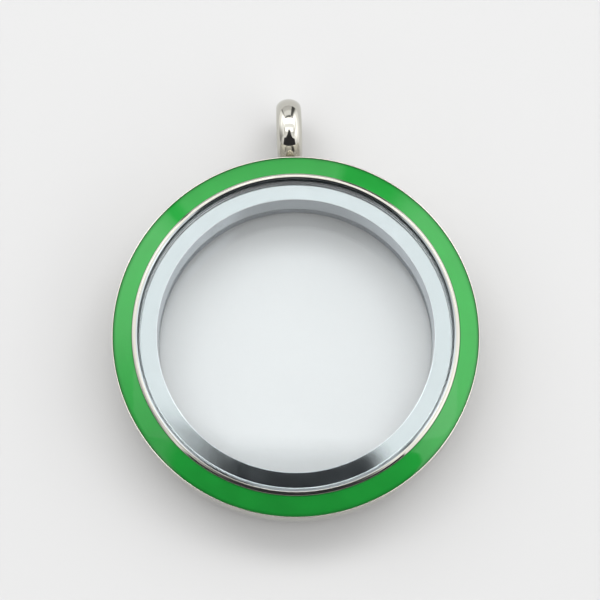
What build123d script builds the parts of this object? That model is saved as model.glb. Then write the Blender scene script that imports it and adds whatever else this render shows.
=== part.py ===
from build123d import *
import os

# A round floating locket that lies on its back. Z = 0 is the plane of its back rim, the Z axis
# runs through the centres of both glasses, and the bail stands out along +Y. Millimetres.

# Plan widths, from the outside in
outer_radius = 15.0
rim_width = 0.08
enamel_width = 1.61
lip_width = 0.43
ledge_width = 1.55

# Heights
back_seat_depth = 0.95
chamber_depth = 4.5
front_seat_depth = 1.25
seam_height = 4.3

# Glasses
front_glass_thickness = 0.95
back_glass_thickness = 0.8
glass_bevel = 0.14

# Enamel inlay
enamel_slope_rise = 0.74
enamel_depth = 0.45
enamel_dome = 0.015

# Face ring edges
lip_crest_rise = 0.2
lip_slope_width = 0.17
lip_inner_drop = 0.1
lip_edge_width = 0.1
lip_outer_drop = 0.04
rim_round = 0.04

# Back half edges
belly_height = 3.6
belly_inset = 1.4
rim_break = 0.1

# Screw joint between the two halves
collar_wall = 1.6
spigot_length = 1.85
thread_pitch = 0.6
thread_turns = 2
groove_depth = 0.12
groove_mouth = 0.4

# Bail
bail_width = 2.1
bail_hole_radius = 1.5
bail_edge = 0.5
bail_dome = 0.78
bail_stand_off = 0.07
bail_height = 3.2
bail_break = 0.06
neck_width = 1.5
neck_height = 1.6
neck_corner = 0.6

# Clearances
enamel_gap = 0.02
glass_gap = 0.05
seat_gap = 0.03
thread_gap = 0.08
shoulder_gap = 0.03

# Radii that follow from the plan widths
enamel_outer_radius = outer_radius - rim_width
enamel_inner_radius = enamel_outer_radius - enamel_width
seat_radius = enamel_inner_radius - lip_width
chamber_radius = seat_radius - ledge_width
back_rim_radius = outer_radius - belly_inset
collar_radius = outer_radius - collar_wall
spigot_radius = collar_radius - thread_gap
glass_radius = seat_radius - glass_gap

# Heights that follow
front_ledge_height = back_seat_depth + chamber_depth
crest_height = front_ledge_height + front_seat_depth
enamel_inner_height = crest_height - lip_crest_rise
enamel_outer_height = enamel_inner_height - enamel_slope_rise
spigot_end_height = seam_height - spigot_length
collar_floor_height = spigot_end_height - shoulder_gap
collar_top_height = seam_height - shoulder_gap

# Bail places that follow
bail_radius = bail_hole_radius + bail_edge + bail_dome
bail_y = outer_radius + bail_stand_off + bail_radius
neck_start_y = outer_radius - collar_wall / 2
neck_end_y = bail_y - bail_hole_radius - bail_edge


def thread_groove_heights():
    """Middle heights of the grooves that stand in for the thread, within the spigot's length."""
    middle = seam_height - spigot_length / 2
    first = middle - thread_pitch * (thread_turns - 1) / 2
    return [first + thread_pitch * turn for turn in range(thread_turns)]


def groove_corners(wall_radius, height, way):
    """Corners of a V groove in a round wall. The way is -1 where it cuts inwards and 1 outwards."""
    mouth_radius = wall_radius - way * thread_gap / 2
    return [
        (mouth_radius, height - groove_mouth / 2),
        (wall_radius + way * groove_depth, height),
        (mouth_radius, height + groove_mouth / 2),
    ]


# The face ring: rim, enamel channel, lip, glass seat with its ledge, and the screw spigot
with BuildPart() as face_ring:
    with BuildSketch(Plane.XZ):
        with BuildLine():
            Polyline(
                (chamber_radius, front_ledge_height),
                (seat_radius, front_ledge_height),
                (seat_radius, crest_height - lip_inner_drop),
                (seat_radius + lip_slope_width, crest_height),
                (enamel_inner_radius - lip_edge_width, crest_height),
                (enamel_inner_radius, crest_height - lip_outer_drop),
                (enamel_inner_radius, enamel_inner_height - enamel_depth),
                (enamel_outer_radius, enamel_outer_height - enamel_depth),
                (enamel_outer_radius, enamel_outer_height),
                (outer_radius, enamel_outer_height),
                (outer_radius, seam_height),
                (spigot_radius, seam_height),
                (spigot_radius, spigot_end_height),
                (chamber_radius, spigot_end_height),
                (chamber_radius, front_ledge_height),
            )
        make_face()
    revolve(axis=Axis.Z)
    for height in thread_groove_heights():
        with BuildSketch(Plane.XZ):
            with BuildLine():
                Polyline(*groove_corners(spigot_radius, height, -1), close=True)
            make_face()
        revolve(axis=Axis.Z, mode=Mode.SUBTRACT)
    outer_edges = face_ring.edges().filter_by(GeomType.CIRCLE).group_by(SortBy.RADIUS)[-1]
    fillet(outer_edges.sort_by(Axis.Z)[-1], radius=rim_round)

# The enamel lies in the channel, its outer face a shallow cone with a slight dome
with BuildPart() as enamel_ring:
    inlay_inner = enamel_inner_radius + enamel_gap
    inlay_outer = enamel_outer_radius - enamel_gap
    with BuildSketch(Plane.XZ):
        with BuildLine():
            Polyline(
                (inlay_inner, enamel_inner_height),
                (inlay_inner, enamel_inner_height - enamel_depth + enamel_gap),
                (inlay_outer, enamel_outer_height - enamel_depth + enamel_gap),
                (inlay_outer, enamel_outer_height),
            )
            ThreePointArc(
                (inlay_outer, enamel_outer_height),
                (
                    (inlay_inner + inlay_outer) / 2,
                    (enamel_inner_height + enamel_outer_height) / 2 + enamel_dome,
                ),
                (inlay_inner, enamel_inner_height),
            )
        make_face()
    revolve(axis=Axis.Z)

# The base ring: belly, back rim, glass seat, chamber wall and collar, with the bail soldered on
with BuildPart() as base_ring:
    with BuildSketch(Plane.XZ):
        with BuildLine():
            Polyline(
                (outer_radius, belly_height),
                (outer_radius, collar_top_height),
                (collar_radius, collar_top_height),
                (collar_radius, collar_floor_height),
                (chamber_radius, collar_floor_height),
                (chamber_radius, back_seat_depth),
                (seat_radius, back_seat_depth),
                (seat_radius, 0),
                (back_rim_radius, 0),
            )
            TangentArc(
                (outer_radius, belly_height),
                (back_rim_radius, 0),
                tangent=(0, -1),
            )
        make_face()
    revolve(axis=Axis.Z)
    rim_edges = base_ring.edges().filter_by(GeomType.CIRCLE).group_by(Axis.Z)[0]
    fillet(rim_edges, radius=rim_break)
    for height in thread_groove_heights():
        with BuildSketch(Plane.XZ):
            with BuildLine():
                Polyline(*groove_corners(collar_radius, height, 1), close=True)
            make_face()
        revolve(axis=Axis.Z, mode=Mode.SUBTRACT)
    # a short neck joins the belly to the bail
    with BuildSketch(Plane.XZ.offset(-neck_start_y)):
        with Locations((0, bail_height)):
            RectangleRounded(neck_width, neck_height, neck_corner)
    extrude(amount=neck_start_y - neck_end_y)
    # the bail is a domed band bent into a ring, its hole along X
    with BuildSketch(Plane.XY.move(Location((0, bail_y, bail_height)))) as band:
        with BuildLine():
            Polyline(
                (-bail_width / 2, bail_hole_radius + bail_edge),
                (-bail_width / 2, bail_hole_radius),
                (bail_width / 2, bail_hole_radius),
                (bail_width / 2, bail_hole_radius + bail_edge),
            )
            ThreePointArc(
                (bail_width / 2, bail_hole_radius + bail_edge),
                (0, bail_radius),
                (-bail_width / 2, bail_hole_radius + bail_edge),
            )
        make_face()
        fillet(band.vertices().group_by(Axis.Y)[0], radius=bail_break)
    revolve(axis=Axis((0, bail_y, bail_height), (1, 0, 0)))


def glass_disc(thickness, bottom_height):
    """A round flat glass with a small bevel on both edges."""
    with BuildPart() as disc:
        with BuildSketch(Plane.XY.offset(bottom_height)):
            Circle(glass_radius)
        extrude(amount=thickness)
        chamfer(disc.edges().filter_by(GeomType.CIRCLE), length=glass_bevel)
    return disc


front_glass = glass_disc(front_glass_thickness, front_ledge_height + seat_gap)
back_glass = glass_disc(
    back_glass_thickness, back_seat_depth - seat_gap - back_glass_thickness
)

os.makedirs("parts", exist_ok=True)

face_ring.part.label = "face_ring"
export_step(face_ring.part, "parts/face_ring.step")

enamel_ring.part.label = "enamel_ring"
export_step(enamel_ring.part, "parts/enamel_ring.step")

base_ring.part.label = "base_ring"
export_step(base_ring.part, "parts/base_ring.step")

front_glass.part.label = "front_glass"
export_step(front_glass.part, "parts/front_glass.step")

back_glass.part.label = "back_glass"
export_step(back_glass.part, "parts/back_glass.step")
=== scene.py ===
import bpy
import math
from mathutils import Matrix, Vector


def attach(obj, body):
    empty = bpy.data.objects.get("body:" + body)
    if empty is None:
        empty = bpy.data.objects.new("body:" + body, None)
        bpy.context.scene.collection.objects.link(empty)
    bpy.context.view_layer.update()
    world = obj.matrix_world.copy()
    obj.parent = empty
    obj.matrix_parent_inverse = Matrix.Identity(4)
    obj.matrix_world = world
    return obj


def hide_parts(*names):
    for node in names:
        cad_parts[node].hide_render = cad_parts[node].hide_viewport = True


# A round floating locket with a green enamel face, lying on pale paper.
# The frame's origin is on the locket's axis at the plane of its back rim, +Z runs up
# through both glasses and +Y runs to the bail. Lengths are named in millimetres and turned
# into metres where a mesh or the camera is made. Only the lights and the patterns in the
# materials are sized in metres.

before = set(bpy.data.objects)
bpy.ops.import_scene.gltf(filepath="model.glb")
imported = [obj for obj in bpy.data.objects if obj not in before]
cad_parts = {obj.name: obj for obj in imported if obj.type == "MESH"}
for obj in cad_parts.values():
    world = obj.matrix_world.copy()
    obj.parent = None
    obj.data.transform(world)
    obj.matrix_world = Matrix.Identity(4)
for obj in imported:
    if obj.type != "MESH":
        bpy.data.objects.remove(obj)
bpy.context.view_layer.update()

MM = 0.001

# Plan widths of the case, from the outside in
outer_radius = 15.0
rim_width = 0.08
enamel_width = 1.61
lip_width = 0.43
ledge_width = 1.55

# Heights of the case
back_seat_depth = 0.95
chamber_depth = 4.5
front_seat_depth = 1.25
seam_height = 4.3

# Glasses
front_glass_thickness = 0.95
back_glass_thickness = 0.8
glass_bevel = 0.14

# Enamel inlay and the lip that stands over it
enamel_slope_rise = 0.74
enamel_depth = 0.45
enamel_dome = 0.015
enamel_edge_width = 0.3
enamel_edge_drop = 0.03
lip_crest_rise = 0.2
lip_slope_width = 0.13
lip_inner_drop = 0.075
lip_edge_width = 0.14
lip_outer_drop = 0.0875

# Back half
belly_height = 3.6
belly_inset = 1.4
collar_wall = 1.6
spigot_length = 1.85
thread_pitch = 0.6
thread_turns = 2
groove_depth = 0.12
groove_mouth = 0.4

# Bail and its neck, which starts inside the case
bail_width = 2.1
bail_hole_radius = 1.5
bail_edge = 0.5
bail_dome = 0.78
bail_stand_off = 0.07
bail_height = 3.2
neck_width = 1.5
neck_height = 1.6
neck_root = 0.5
neck_corner_power = 0.6

# Solder that flares the neck at the case and at the bail: how far it stands out, over what
# length, and the share of it that goes up and down at the case and sideways at the bail
case_flare = 0.4
case_flare_root = 0.1
case_flare_length = 0.45
case_flare_rise = 0.5
bail_flare = 0.35
bail_flare_length = 0.9
bail_flare_spread = 0.3

# Clearances between the pieces
enamel_gap = 0.02
glass_gap = 0.05
seat_gap = 0.03
thread_gap = 0.08
shoulder_gap = 0.03

# Roundings of the edges
fine_round = 0.03
edge_round = 0.05
lip_round = 0.05
rim_round = 0.04
back_round = 0.1
collar_round = 0.1
spigot_round = 0.12
bail_round = 0.12

# How finely the round forms are divided
turns_round = 360
bail_turns_round = 200
neck_turns_round = 64
neck_sections = 24
bail_dome_steps = 36
corner_steps = 4
glass_corner_steps = 2
belly_steps = 28
inlay_steps = 32

# Radii that follow from the plan widths
enamel_outer_radius = outer_radius - rim_width
enamel_inner_radius = enamel_outer_radius - enamel_width
seat_radius = enamel_inner_radius - lip_width
chamber_radius = seat_radius - ledge_width
collar_radius = outer_radius - collar_wall
spigot_radius = collar_radius - thread_gap
glass_radius = seat_radius - glass_gap

# Heights that follow
front_ledge_height = back_seat_depth + chamber_depth
crest_height = front_ledge_height + front_seat_depth
enamel_inner_height = crest_height - lip_crest_rise
enamel_outer_height = enamel_inner_height - enamel_slope_rise
spigot_end_height = seam_height - spigot_length
collar_floor_height = spigot_end_height - shoulder_gap
collar_top_height = seam_height - shoulder_gap

# Bail places that follow
bail_radius = bail_hole_radius + bail_edge + bail_dome
bail_y = outer_radius + bail_stand_off + bail_radius
neck_end_y = bail_y - bail_hole_radius - bail_edge


# Outlines

# the most that a rounding takes of the shorter flat beside it, and how much of its own
# length is held flat at each end
room_share = 0.45
hold_share = 0.25


def rounded(corners, steps=corner_steps):
    """Points of a closed outline whose corners (r, z, radius) are rounded.

    A corner with no radius is kept as it is. A short flat is left at each end of a
    rounding, so that the flats beside it shade flat.
    """
    points = []
    for index, (r, z, radius) in enumerate(corners):
        if radius <= 0:
            points.append((r, z))
            continue
        here = Vector((r, z))
        before = Vector(corners[index - 1][:2]) - here
        after = Vector(corners[(index + 1) % len(corners)][:2]) - here
        half_angle = before.angle(after) / 2
        room = room_share * min(before.length, after.length)
        reach = min(radius / math.tan(half_angle), room)
        hold = min(hold_share * reach, room - reach)
        before.normalize()
        after.normalize()
        centre = here + (before + after).normalized() * (reach / math.cos(half_angle))
        first = here + before * reach - centre
        sweep = first.angle_signed(here + after * reach - centre)
        if hold > 0:
            points.append(tuple(here + before * (reach + hold)))
        for step in range(steps + 1):
            turn = Matrix.Rotation(-sweep * step / steps, 2)
            points.append(tuple(centre + turn @ first))
        if hold > 0:
            points.append(tuple(here + after * (reach + hold)))
    return points


def arc_points(centre, along, across, start, end, steps):
    """Points on an ellipse about centre, from the angle start to the angle end in radians."""
    angles = [start + (end - start) * step / steps for step in range(steps + 1)]
    return [
        (centre[0] + along * math.cos(angle), centre[1] + across * math.sin(angle))
        for angle in angles
    ]


def groove_corners(wall_radius, way):
    """Corners of the V grooves of the thread in a round wall, from the top groove down.

    The way is -1 where they cut inwards and 1 where they cut outwards.
    """
    middle = seam_height - spigot_length / 2
    first = middle - thread_pitch * (thread_turns - 1) / 2
    corners = []
    for turn in reversed(range(thread_turns)):
        height = first + thread_pitch * turn
        corners += [
            (wall_radius, height + groove_mouth / 2, fine_round),
            (wall_radius + way * groove_depth, height, fine_round),
            (wall_radius, height - groove_mouth / 2, fine_round),
        ]
    return corners


# Meshes


def make_piece(name, vertices, faces, materials, slots=None):
    """A smooth-shaded object from vertices in millimetres, added to the scene."""
    mesh = bpy.data.meshes.new(name)
    mesh.from_pydata([Vector(v) * MM for v in vertices], [], faces)
    for material in materials:
        mesh.materials.append(material)
    if slots:
        for polygon, slot in zip(mesh.polygons, slots):
            polygon.material_index = slot
    mesh.shade_smooth()
    mesh.validate()
    piece = bpy.data.objects.new(name, mesh)
    bpy.context.scene.collection.objects.link(piece)
    return piece


def make_square(name, half, material):
    """A flat level square about the origin."""
    corners = [(-half, -half, 0), (half, -half, 0), (half, half, 0), (-half, half, 0)]
    return make_piece(name, corners, [(0, 1, 2, 3)], [material])


def ring_faces(ring, following):
    """Faces between two rings of vertex numbers. One of them may be a single vertex."""
    count = max(len(ring), len(following))
    faces = []
    for turn in range(count):
        after = (turn + 1) % count
        if len(ring) == 1:
            faces.append((ring[0], following[after], following[turn]))
        elif len(following) == 1:
            faces.append((ring[turn], ring[after], following[0]))
        else:
            faces.append((ring[turn], ring[after], following[after], following[turn]))
    return faces


def turned(name, outline, materials, slot_at=None):
    """A closed form turned about the Z axis from an outline of (r, z) points.

    Points on the axis become single vertices. The function slot_at gives the material
    slot of a strip from the middle of its side of the outline.
    """
    vertices = []
    rings = []
    for r, z in outline:
        count = turns_round if r > 0 else 1
        rings.append(range(len(vertices), len(vertices) + count))
        for turn in range(count):
            angle = 2 * math.pi * turn / count
            vertices.append((r * math.cos(angle), r * math.sin(angle), z))
    faces = []
    slots = []
    for index, ring in enumerate(rings):
        after = (index + 1) % len(rings)
        if len(ring) == len(rings[after]) == 1:
            continue
        middle = [(a + b) / 2 for a, b in zip(outline[index], outline[after])]
        strip = ring_faces(ring, rings[after])
        faces += strip
        slots += [slot_at(*middle) if slot_at else 0] * len(strip)
    return make_piece(name, vertices, faces, materials, slots)


# Materials

white = (1, 1, 1, 1)
# how much glass and clear enamel bend light
clear_ior = 1.5


def add_node(tree, kind, values=None, **settings):
    """A node with its settings. The values of its named or numbered sockets are constants
    or the outputs of other nodes."""
    node = tree.nodes.new(kind)
    for key, value in settings.items():
        setattr(node, key, value)
    for key, value in (values or {}).items():
        if isinstance(value, bpy.types.NodeSocket):
            tree.links.new(value, node.inputs[key])
        else:
            node.inputs[key].default_value = value
    return node


def start_material(name):
    """A new node material, with its tree, the place on the object and the output's socket."""
    material = bpy.data.materials.new(name)
    material.use_nodes = True
    tree = material.node_tree
    tree.nodes.clear()
    surface = add_node(tree, "ShaderNodeOutputMaterial").inputs["Surface"]
    place = add_node(tree, "ShaderNodeTexCoord").outputs["Object"]
    return material, tree, place, surface


def add_noise(tree, vector, scale, detail=3.0, roughness=0.5):
    """A noise texture on a vector."""
    node = add_node(
        tree,
        "ShaderNodeTexNoise",
        {"Vector": vector, "Scale": scale, "Detail": detail, "Roughness": roughness},
    )
    return node.outputs["Fac"]


def add_range(tree, value, low, high, new_low, new_high, kind="SMOOTHSTEP"):
    """A number mapped from one range to another."""
    node = add_node(
        tree,
        "ShaderNodeMapRange",
        {
            "Value": value,
            "From Min": low,
            "From Max": high,
            "To Min": new_low,
            "To Max": new_high,
        },
        interpolation_type=kind,
    )
    return node.outputs["Result"]


def add_math(tree, operation, first, second=0.0):
    """A sum, product or other number made of one or two numbers."""
    node = add_node(tree, "ShaderNodeMath", {0: first, 1: second}, operation=operation)
    return node.outputs[0]


def add_mix(tree, factor, first, second, kind="FLOAT"):
    """A number between two others, or a colour where the kind is RGBA."""
    node = add_node(
        tree,
        "ShaderNodeMix",
        {"Factor": factor, "A": first, "B": second},
        data_type=kind,
    )
    return node.outputs["Result"]


def add_ramp(tree, value, stops):
    """A number read off a line through (place, number) stops."""
    low, high = stops[0][0], stops[-1][0]
    top = max(number for place, number in stops)
    points = [((place - low) / (high - low), number / top) for place, number in stops]
    share = add_range(tree, value, low, high, 0.0, 1.0, kind="LINEAR")
    node = add_node(tree, "ShaderNodeFloatCurve", {"Value": share})
    curve = node.mapping.curves[0]
    curve.points[0].location = points[0]
    curve.points[1].location = points[-1]
    for point in points[1:-1]:
        curve.points.new(*point)
    for point in curve.points:
        point.handle_type = "VECTOR"
    node.mapping.update()
    return add_math(tree, "MULTIPLY", node.outputs["Value"], top)


def add_radius(tree, place):
    """The distance of a place from the Z axis."""
    flat = add_node(
        tree, "ShaderNodeVectorMath", {0: place, 1: (1, 1, 0)}, operation="MULTIPLY"
    )
    length = add_node(
        tree, "ShaderNodeVectorMath", {0: flat.outputs[0]}, operation="LENGTH"
    )
    return length.outputs["Value"]


def add_turned_vector(tree, place, around):
    """A vector (radius, angle, height) of the place, the angle shrunk by around in metres,
    so that a pattern on it runs in fine rings as a lathe leaves them."""
    parts = add_node(tree, "ShaderNodeSeparateXYZ", {0: place}).outputs
    angle = add_math(tree, "ARCTAN2", parts["Y"], parts["X"])
    joined = add_node(
        tree,
        "ShaderNodeCombineXYZ",
        {
            "X": add_radius(tree, place),
            "Y": add_math(tree, "MULTIPLY", angle, around),
            "Z": parts["Z"],
        },
    )
    return joined.outputs[0]


def add_bump(tree, height, strength, distance, normal=None):
    """A bump from a height, on top of another normal if one is given."""
    values = {"Height": height, "Strength": strength, "Distance": distance}
    if normal is not None:
        values["Normal"] = normal
    return add_node(tree, "ShaderNodeBump", values).outputs["Normal"]


def steel_material(
    name, light_tone, dark_tone, smooth, rough, line_strength, grazing=white
):
    """Polished steel: a slight change of tone, soft smudges in its gloss, and the fine
    rings of polishing. The tone grazing darkens what a slanting look shows."""
    material, tree, place, surface = start_material(name)
    cloud = add_noise(tree, place, scale=260.0, detail=2.0)
    smudge = add_noise(tree, place, scale=420.0, detail=4.0, roughness=0.6)
    lathe_vector = add_turned_vector(tree, place, around=0.0004)
    rings = add_noise(tree, lathe_vector, scale=14000.0, roughness=0.6)
    waves = add_noise(tree, place, scale=900.0, detail=1.0)
    wavy = add_bump(tree, waves, strength=0.05, distance=0.00002)
    shader = add_node(
        tree,
        "ShaderNodeBsdfPrincipled",
        {
            "Base Color": add_mix(tree, cloud, dark_tone, light_tone, kind="RGBA"),
            "Metallic": 1.0,
            "Roughness": add_range(tree, smudge, 0.35, 0.75, smooth, rough),
            "Specular Tint": grazing,
            "Normal": add_bump(tree, rings, line_strength, 0.000002, normal=wavy),
        },
    )
    tree.links.new(shader.outputs[0], surface)
    return material


def enamel_material(name, light_tone, dark_tone, edge_depth_and_shade_tone):
    """Hard enamel: glassy green over the bright metal that shines through it, darker along
    its two edges, partly where it lies deeper and partly as painted shade where it meets the
    metal, with faint clouding and a slightly wavy clear gloss."""
    material, tree, place, surface = start_material(name)
    cloud = add_noise(tree, place, scale=340.0, detail=4.0, roughness=0.55)
    clouding = add_range(tree, cloud, 0.3, 0.7, 0.0, 1.0)
    tone = add_mix(tree, clouding, dark_tone, light_tone, kind="RGBA")
    radius = add_radius(tree, place)
    inner, outer = enamel_inner_radius * MM, enamel_outer_radius * MM
    reach = enamel_edge_width * MM
    # darker towards both edges: partly deeper enamel, partly painted shade where the enamel
    # meets the metal
    near_outer = add_range(tree, radius, outer - reach, outer, 0.0, 1.0)
    near_inner = add_range(tree, radius, inner, inner + reach / 2, 1.0, 0.0)
    near_edge = add_math(tree, "MAXIMUM", near_outer, near_inner)
    grain = add_noise(tree, place, scale=700.0)
    waves = add_noise(tree, place, scale=700.0, detail=2.0)
    wavy = add_bump(tree, waves, strength=0.1, distance=0.00002)
    shader = add_node(
        tree,
        "ShaderNodeBsdfPrincipled",
        {
            "Base Color": add_mix(tree, near_edge, tone, edge_depth_and_shade_tone, kind="RGBA"),
            "Metallic": 0.5,
            "Roughness": add_range(tree, grain, 0.35, 0.75, 0.45, 0.55),
            "IOR": clear_ior,
            "Normal": wavy,
            "Specular IOR Level": 0.0,
            "Coat Weight": 1.0,
            "Coat Roughness": 0.05,
            "Coat IOR": clear_ior,
            "Coat Normal": wavy,
        },
    )
    tree.links.new(shader.outputs[0], surface)
    return material


def glass_material(name, tint, shade, smooth, rough):
    """Glass with faint smudges. It lets light through to what lies under it, coloured by
    the tone shade."""
    material, tree, place, surface = start_material(name)
    smudge = add_noise(tree, place, scale=300.0, detail=4.0, roughness=0.6)
    shader = add_node(
        tree,
        "ShaderNodeBsdfPrincipled",
        {
            "Base Color": tint,
            "Roughness": add_range(tree, smudge, 0.5, 0.85, smooth, rough),
            "IOR": clear_ior,
            "Specular IOR Level": 0.15,
            "Transmission Weight": 1.0,
        },
    )
    clear = add_node(tree, "ShaderNodeBsdfTransparent", {"Color": shade})
    path = add_node(tree, "ShaderNodeLightPath")
    mix = add_node(
        tree,
        "ShaderNodeMixShader",
        {0: path.outputs["Is Shadow Ray"], 1: shader.outputs[0], 2: clear.outputs[0]},
    )
    tree.links.new(mix.outputs[0], surface)
    return material


def paper_material(name, tone):
    """Matt pale paper with a faint grain."""
    material, tree, place, surface = start_material(name)
    grain = add_noise(tree, place, scale=2500.0, detail=4.0)
    shader = add_node(
        tree,
        "ShaderNodeBsdfPrincipled",
        {
            "Base Color": tone,
            "Roughness": 0.75,
            "Normal": add_bump(tree, grain, strength=0.15, distance=0.00002),
        },
    )
    tree.links.new(shader.outputs[0], surface)
    return material


warm_steel = steel_material(
    "warm_polished_steel",
    light_tone=(0.62, 0.605, 0.545, 1),
    dark_tone=(0.57, 0.555, 0.5, 1),
    smooth=0.04,
    rough=0.12,
    line_strength=0.15,
)
cool_steel = steel_material(
    "cool_polished_steel",
    light_tone=(0.525, 0.578, 0.588, 1),
    dark_tone=(0.5, 0.555, 0.565, 1),
    smooth=0.05,
    rough=0.08,
    line_strength=0.2,
)
slope_steel = steel_material(
    "lip_slope_steel",
    light_tone=(0.4, 0.435, 0.445, 1),
    dark_tone=(0.37, 0.405, 0.415, 1),
    smooth=0.08,
    rough=0.14,
    line_strength=0.2,
)
upper_wall_steel = steel_material(
    "upper_wall_steel",
    light_tone=(0.78, 0.81, 0.83, 1),
    dark_tone=(0.74, 0.77, 0.79, 1),
    smooth=0.08,
    rough=0.16,
    line_strength=0.25,
    grazing=(0.92, 0.96, 1.0, 1),
)
# the lower inner wall's steel darkens at a slant: painted shade standing for the shaded paper
# it mirrors near its foot
shaded_lower_wall_steel = steel_material(
    "shaded_lower_wall_steel",
    light_tone=(0.72, 0.75, 0.77, 1),
    dark_tone=(0.68, 0.71, 0.73, 1),
    smooth=0.08,
    rough=0.16,
    line_strength=0.25,
    grazing=(0.3, 0.34, 0.37, 1),
)
green_enamel = enamel_material(
    "green_enamel",
    light_tone=(0.0157, 0.315, 0.042, 1),
    dark_tone=(0.0147, 0.295, 0.039, 1),
    # the darker edge is partly deeper enamel and partly painted shade where it meets the
    # metal
    edge_depth_and_shade_tone=(0.0086, 0.19, 0.0257, 1),
)
clear_glass = glass_material(
    "clear_glass",
    tint=(0.985, 0.997, 1.0, 1),
    shade=(0.99, 0.998, 1.0, 1),
    smooth=0.0,
    rough=0.03,
)
# ground glass for the edges, tinted nearly black: painted shade of the narrow gap between
# each glass and its seat
shaded_ground_glass = glass_material(
    "shaded_ground_glass",
    tint=(0.035, 0.037, 0.039, 1),
    shade=(0.6, 0.62, 0.63, 1),
    smooth=0.4,
    rough=0.5,
)
pale_paper = paper_material("pale_paper", tone=(0.59, 0.59, 0.59, 1))

# material slots of the two steel rings and of the glasses
OUTSIDE, LEDGE, WALL, SLOPE = range(4)
CLEAR, GROUND = range(2)


# Pieces of the face: the steel ring with its lip, ledge and spigot, and the enamel in it

face_outline = rounded(
    [
        (enamel_inner_radius, enamel_inner_height - enamel_depth, 0),
        (enamel_outer_radius, enamel_outer_height - enamel_depth, 0),
        (enamel_outer_radius, enamel_outer_height, fine_round),
        (outer_radius, enamel_outer_height, rim_round),
        (outer_radius, seam_height, edge_round),
        (spigot_radius, seam_height, fine_round),
        *groove_corners(spigot_radius, -1),
        (spigot_radius, spigot_end_height, spigot_round),
        (chamber_radius, spigot_end_height, edge_round),
        (chamber_radius, front_ledge_height, fine_round),
        (seat_radius, front_ledge_height, fine_round),
        (seat_radius, crest_height - lip_inner_drop, fine_round),
        (seat_radius + lip_slope_width, crest_height, lip_round),
        (enamel_inner_radius - lip_edge_width, crest_height, lip_round),
        (enamel_inner_radius, crest_height - lip_outer_drop, fine_round),
        (enamel_inner_radius, enamel_inner_height, 0),
    ]
)


def face_slot(r, z):
    """Warm steel outside, cool steel in the seat with its ledge, and other finishes on the
    chamber's wall and on the inner slope of the lip."""
    if r < chamber_radius + edge_round / 2:
        return WALL
    if z < crest_height - lip_inner_drop:
        return LEDGE if r < seat_radius + fine_round else OUTSIDE
    return SLOPE if r < seat_radius + lip_slope_width else OUTSIDE


face_steel = turned(
    "face_ring_steel",
    face_outline,
    [warm_steel, cool_steel, upper_wall_steel, slope_steel],
    face_slot,
)
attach(face_steel, "face")
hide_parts("face_ring")

inlay_inner = enamel_inner_radius + enamel_gap
inlay_outer = enamel_outer_radius - enamel_gap
inlay_outline = [
    (inlay_inner, enamel_inner_height - enamel_depth + enamel_gap),
    (inlay_outer, enamel_outer_height - enamel_depth + enamel_gap),
]
for step in range(inlay_steps + 1):
    share = step / inlay_steps
    radius = inlay_outer + (inlay_inner - inlay_outer) * share
    height = (
        enamel_outer_height
        + (enamel_inner_height - enamel_outer_height) * share
        + enamel_dome * 4 * share * (1 - share)
    )
    # the outer edge rounds over a little more steeply
    edge = max(0.0, 1 - (inlay_outer - radius) / enamel_edge_width)
    inlay_outline.append((radius, height - enamel_edge_drop * edge**2))

enamel_inlay = turned("enamel_inlay", inlay_outline, [green_enamel])
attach(enamel_inlay, "face")
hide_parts("enamel_ring")


# The two glasses


def pane_slot(r, z):
    """Clear glass on the flats, and on the edge ground glass tinted nearly black as painted
    shade of the narrow gap beside it.
    """
    return GROUND if r > glass_radius - glass_bevel / 2 - fine_round else CLEAR


def glass_pane(name, bottom_height, thickness):
    """A flat round glass with a small bevel on both edges."""
    top_height = bottom_height + thickness
    outline = rounded(
        [
            (0, bottom_height, 0),
            (glass_radius - glass_bevel, bottom_height, fine_round),
            (glass_radius, bottom_height + glass_bevel, fine_round),
            (glass_radius, top_height - glass_bevel, fine_round),
            (glass_radius - glass_bevel, top_height, fine_round),
            (0, top_height, 0),
        ],
        glass_corner_steps,
    )
    return turned(name, outline, [clear_glass, shaded_ground_glass], pane_slot)


front_pane = glass_pane(
    "front_glass_pane", front_ledge_height + seat_gap, front_glass_thickness
)
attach(front_pane, "window")
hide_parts("front_glass")

back_pane = glass_pane(
    "back_glass_pane",
    back_seat_depth - seat_gap - back_glass_thickness,
    back_glass_thickness,
)
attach(back_pane, "case")
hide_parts("back_glass")


# Pieces of the back half: the rounded ring with its collar, and the bail on its neck

# the belly is an arc that leaves the wall upright and ends on the back rim
belly_radius = (belly_height**2 + belly_inset**2) / (2 * belly_inset)
belly_arc = arc_points(
    (outer_radius - belly_radius, belly_height),
    belly_radius,
    belly_radius,
    -math.asin(belly_height / belly_radius),
    0,
    belly_steps,
)
base_outline = rounded(
    [
        (seat_radius, 0, fine_round),
        (*belly_arc[0], back_round),
        *[(*point, 0) for point in belly_arc[1:]],
        (outer_radius, collar_top_height, edge_round),
        (collar_radius, collar_top_height, collar_round),
        *groove_corners(collar_radius, 1),
        (collar_radius, collar_floor_height, fine_round),
        (chamber_radius, collar_floor_height, edge_round),
        (chamber_radius, back_seat_depth, edge_round),
        (seat_radius, back_seat_depth, fine_round),
    ]
)


def base_slot(r, z):
    """Warm steel outside, cool steel on the back seat, and on the inner wall a copy of the
    steel darkened at a slant as painted shade.
    """
    if r > seat_radius - fine_round or z < fine_round:
        return OUTSIDE
    return WALL if r < chamber_radius + edge_round / 2 else LEDGE


base_steel = turned(
    "base_ring_steel", base_outline, [warm_steel, cool_steel, shaded_lower_wall_steel], base_slot
)
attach(base_steel, "case")
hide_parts("base_ring")


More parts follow.
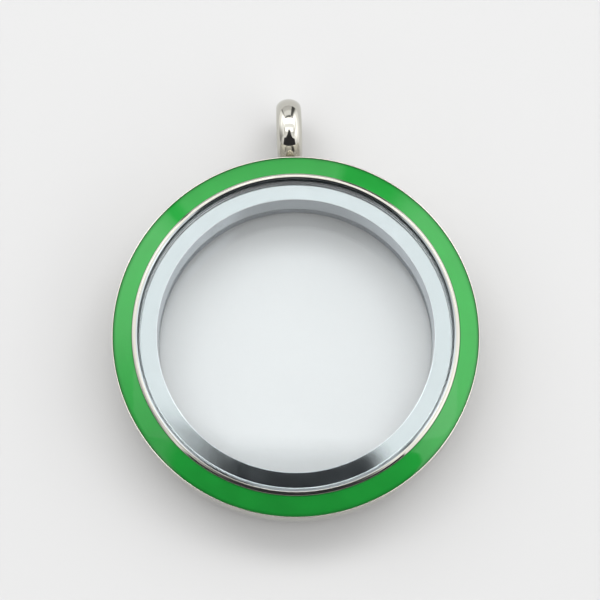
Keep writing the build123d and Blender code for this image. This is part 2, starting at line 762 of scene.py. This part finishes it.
def bail_ring():
    """The domed band of the bail, turned about a line along X through its hole."""
    half = bail_width / 2
    shoulder = bail_hole_radius + bail_edge
    dome = arc_points((0, shoulder), half, bail_dome, math.pi, 0, bail_dome_steps)
    outline = rounded(
        [
            (half, shoulder, 0),
            (half, bail_hole_radius, bail_round),
            (-half, bail_hole_radius, bail_round),
            (-half, shoulder, 0),
        ]
    )
    outline += dome[1:-1]
    vertices = []
    faces = []
    count = len(outline)
    for turn in range(bail_turns_round):
        angle = 2 * math.pi * turn / bail_turns_round
        c, s = math.cos(angle), math.sin(angle)
        for across, radius in outline:
            vertices.append((across, bail_y + radius * c, bail_height + radius * s))
        after = (turn + 1) % bail_turns_round
        faces += ring_faces(
            range(turn * count, (turn + 1) * count),
            range(after * count, (after + 1) * count),
        )
    return make_piece("bail_ring", vertices, faces, [warm_steel])


bail = bail_ring()
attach(bail, "case")
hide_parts("base_ring")


def neck_with_solder():
    """The short neck, which flares into the case and into the bail where it is soldered.

    It starts inside the case. At the case the solder rises less than it spreads, so that it
    ends under the seam.
    """
    start = outer_radius - neck_root
    vertices = []
    rings = []
    for section in range(neck_sections + 1):
        y = start + (neck_end_y - start) * section / neck_sections
        to_case = 1 - (y - outer_radius + case_flare_root) / case_flare_length
        to_bail = 1 - (neck_end_y - y) / bail_flare_length
        at_case = case_flare * min(1.0, max(0.0, to_case)) ** 2
        at_bail = bail_flare * min(1.0, max(0.0, to_bail)) ** 2
        half_width = neck_width / 2 + at_case + bail_flare_spread * at_bail
        half_height = neck_height / 2 + case_flare_rise * at_case + at_bail
        rings.append(range(len(vertices), len(vertices) + neck_turns_round))
        for turn in range(neck_turns_round):
            angle = 2 * math.pi * turn / neck_turns_round
            c, s = math.cos(angle), math.sin(angle)
            x = half_width * math.copysign(abs(c) ** neck_corner_power, c)
            z = half_height * math.copysign(abs(s) ** neck_corner_power, s)
            vertices.append((x, y, bail_height + z))
    faces = []
    for ring, following in zip(rings, rings[1:]):
        faces += ring_faces(ring, following)
    faces += [tuple(reversed(rings[0])), tuple(rings[-1])]
    return make_piece("bail_neck", vertices, faces, [warm_steel])


neck = neck_with_solder()
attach(neck, "case")
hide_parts("base_ring")


# Floor

floor_half = 3000.0
floor = make_square("paper_floor", floor_half, pale_paper)


# Camera

camera_place = Vector((-2.07, -37.0, 193.6)) * MM
camera_aim = Vector((0.425, 2.82, 5.9)) * MM
camera_roll = math.radians(1.8)
camera_up = Vector((math.sin(camera_roll), math.cos(camera_roll), 0))


def frame_matrix(sideways, upwards, backwards):
    """A turn that lays the axes X, Y and Z along three directions."""
    return Matrix((sideways, upwards, backwards)).transposed().to_4x4()


backwards = (camera_place - camera_aim).normalized()
sideways = camera_up.cross(backwards).normalized()
camera_turn = frame_matrix(sideways, backwards.cross(sideways), backwards)
camera_data = bpy.data.cameras.new("camera")
camera_data.lens = 140.96
camera_data.sensor_width = 36.0
camera_data.clip_start = 0.01
camera = bpy.data.objects.new("camera", camera_data)
camera.matrix_world = Matrix.Translation(camera_place) @ camera_turn
bpy.context.scene.collection.objects.link(camera)
bpy.context.scene.camera = camera


# Light

# each softbox: its name, its azimuth clockwise from the back and its tilt from the vertical
# in degrees, its distance, width and length in metres, and how bright a mirror shows it
softboxes = [
    ("overhead_softbox", 0, 20, 0.7, 1.1, 0.42, 0.6),
    ("front_softbox", 0, -5, 0.8, 0.9, 0.22, 1.3),
    ("back_softbox", 0, 26, 0.8, 1.1, 0.25, 3.2),
    ("left_softbox", -75, 42, 0.8, 0.9, 0.2, 0.55),
    ("right_softbox", 75, 42, 0.8, 0.9, 0.2, 0.65),
]


def softbox(name, azimuth, tilt, distance, width, length, brightness):
    """A flat light panel that faces the locket."""
    light = bpy.data.lights.new(name, "AREA")
    light.shape = "RECTANGLE"
    light.size = width
    light.size_y = length
    light.energy = brightness * math.pi * width * length
    a, t = math.radians(azimuth) + camera_roll, math.radians(tilt)
    outward = Vector((math.sin(t) * math.sin(a), math.sin(t) * math.cos(a), math.cos(t)))
    across = Vector((outward.y, -outward.x, 0)).normalized()
    panel = bpy.data.objects.new(name, light)
    panel.matrix_world = Matrix.Translation(outward * distance) @ frame_matrix(
        across, outward.cross(across), outward
    )
    bpy.context.scene.collection.objects.link(panel)


for values in softboxes:
    softbox(*values)


# Room, as the mirrors see it

# the brightness of the walls by azimuth in degrees, with two lit sides and two dark gaps at
# the back, and how it falls off by the cosine of the tilt from the vertical
wall_brightness = [
    (-180, 0.95),
    (-150, 1.1),
    (-126, 1.2),
    (-112, 0.5),
    (-100, 0.7),
    (-88, 1.1),
    (-74, 1.8),
    (-43, 2.1),
    (-38, 1.4),
    (-37, 0.2),
    (-34, 0.2),
    (-33, 1.15),
    (12, 1.15),
    (13.5, 0.15),
    (27, 0.15),
    (33, 1.4),
    (38, 1.9),
    (109, 1.9),
    (123.5, 1.4),
    (147, 1.2),
    (180, 0.95),
]
wall_falloff = [(0, 0.6), (0.35, 0.7), (0.45, 1), (1, 1)]
# the cosine of the tilt at which the walls end, by azimuth
wall_top = [
    (-180, 0.46),
    (-147, 0.46),
    (-138, 0.73),
    (-112, 0.71),
    (-75, 0.64),
    (-45, 0.62),
    (-40, 0.7),
    (40, 0.7),
    (45, 0.62),
    (78, 0.64),
    (100, 0.69),
    (109, 0.71),
    (124, 0.71),
    (138, 0.73),
    (147, 0.46),
    (180, 0.46),
]
wall_fade = 0.015
# the brightness of the sky over the walls by azimuth, dark over the front
sky_brightness = [
    (-180, 0.03),
    (-155, 0.03),
    (-145, 1.2),
    (-110, 0.75),
    (112, 0.75),
    (145, 1.2),
    (155, 0.03),
    (180, 0.03),
]
# a dark line over the back wall: its ends by azimuth, its lower and upper edge over the top
# of the wall, and its brightness
line_left, line_right, line_end_fade = -40, 13, 2.0
line_low, line_high, line_edge_fade = 0.0, 0.08, 0.008
line_brightness = 0.12
# what the camera would see of the room past the floor
backdrop_brightness = 0.85

world = bpy.data.worlds.new("room")
bpy.context.scene.world = world
world.use_nodes = True
room = world.node_tree
background = room.nodes["Background"]
background.inputs["Color"].default_value = white


def add_window(tree, value, low, high, fade):
    """1 between two numbers and 0 outside them."""
    return add_math(
        tree,
        "MULTIPLY",
        add_range(tree, value, low - fade, low + fade, 0.0, 1.0),
        add_range(tree, value, high - fade, high + fade, 1.0, 0.0),
    )


towards = add_node(
    room,
    "ShaderNodeVectorRotate",
    {
        "Vector": add_node(room, "ShaderNodeTexCoord").outputs["Generated"],
        "Angle": camera_roll,
    },
    rotation_type="Z_AXIS",
)
axes = add_node(room, "ShaderNodeSeparateXYZ", {0: towards.outputs[0]}).outputs
angle = add_math(room, "ARCTAN2", axes["X"], axes["Y"])
azimuth = add_math(room, "MULTIPLY", angle, math.degrees(1))
over_wall = add_math(room, "SUBTRACT", axes["Z"], add_ramp(room, azimuth, wall_top))
walls = add_math(
    room,
    "MULTIPLY",
    add_ramp(room, azimuth, wall_brightness),
    add_ramp(room, axes["Z"], wall_falloff),
)
sky = add_ramp(room, azimuth, sky_brightness)
in_sky = add_range(room, over_wall, -wall_fade, wall_fade, 0.0, 1.0)
in_line = add_math(
    room,
    "MULTIPLY",
    add_window(room, azimuth, line_left, line_right, line_end_fade),
    add_window(room, over_wall, line_low, line_high, line_edge_fade),
)
lit = add_mix(room, in_line, add_mix(room, in_sky, walls, sky), line_brightness)
path = add_node(room, "ShaderNodeLightPath")
seen = add_mix(room, path.outputs["Is Camera Ray"], lit, backdrop_brightness)
room.links.new(seen, background.inputs["Strength"])


# Dark card over the front of the locket, which only mirrors see

# it is narrow over the locket and widens towards the front
card_height = 93.0
card_half = 300.0
card_tone = (0.05, 0.05, 0.055, 1)
# how far it reaches to each side, by the place along Y
card_right = [(-280, 260), (-61, 87.5), (-46, 42), (-20, 15), (3, 10.4)]
card_right_fade = 2.0
card_left = [(-280, 260), (-62, 92), (-53, 84), (-46, 50), (-20, 17), (3, 12.5)]
card_left_fade = [(-280, 14), (-53, 14), (-20, 7), (3, 7)]
# how far it reaches to the back, by the place along X
card_back = [(-20, 10), (-7, 4), (12, 3.5)]
card_back_fade = 1.5
# how far it reaches to the front, by the distance from the middle
card_front = [(0, 160), (246, 263), (300, 263)]
card_front_fade = 4.0


def add_within(tree, distance, reach, fade):
    """1 where the distance is less than the reach and 0 where it is more."""
    over = add_math(tree, "DIVIDE", add_math(tree, "SUBTRACT", distance, reach), fade)
    return add_range(tree, over, -1.0, 1.0, 1.0, 0.0)


def card_material():
    """Dark within the card's outline and clear outside it."""
    material, tree, place, surface = start_material("dark_card")
    parts = add_node(tree, "ShaderNodeSeparateXYZ", {0: place}).outputs
    x = add_math(tree, "DIVIDE", parts["X"], MM)
    y = add_math(tree, "DIVIDE", parts["Y"], MM)
    to_left = add_math(tree, "MULTIPLY", x, -1.0)
    to_front = add_math(tree, "MULTIPLY", y, -1.0)
    from_middle = add_math(tree, "ABSOLUTE", x)
    sides = [
        (x, add_ramp(tree, y, card_right), card_right_fade),
        (to_left, add_ramp(tree, y, card_left), add_ramp(tree, y, card_left_fade)),
        (to_front, add_ramp(tree, from_middle, card_front), card_front_fade),
        (y, add_ramp(tree, x, card_back), card_back_fade),
    ]
    dark = 1.0
    for side in sides:
        dark = add_math(tree, "MULTIPLY", add_within(tree, *side), dark)
    clear = add_node(tree, "ShaderNodeBsdfTransparent")
    shader = add_node(tree, "ShaderNodeBsdfDiffuse", {"Color": card_tone})
    mix = add_node(
        tree,
        "ShaderNodeMixShader",
        {0: dark, 1: clear.outputs[0], 2: shader.outputs[0]},
    )
    tree.links.new(mix.outputs[0], surface)
    return material


card = make_square("dark_card", card_half, card_material())
card.location.z = card_height * MM
card.rotation_euler.z = -camera_roll
card.visible_camera = False
card.visible_diffuse = False
card.visible_shadow = False

bpy.context.scene.view_settings.view_transform = "Standard"
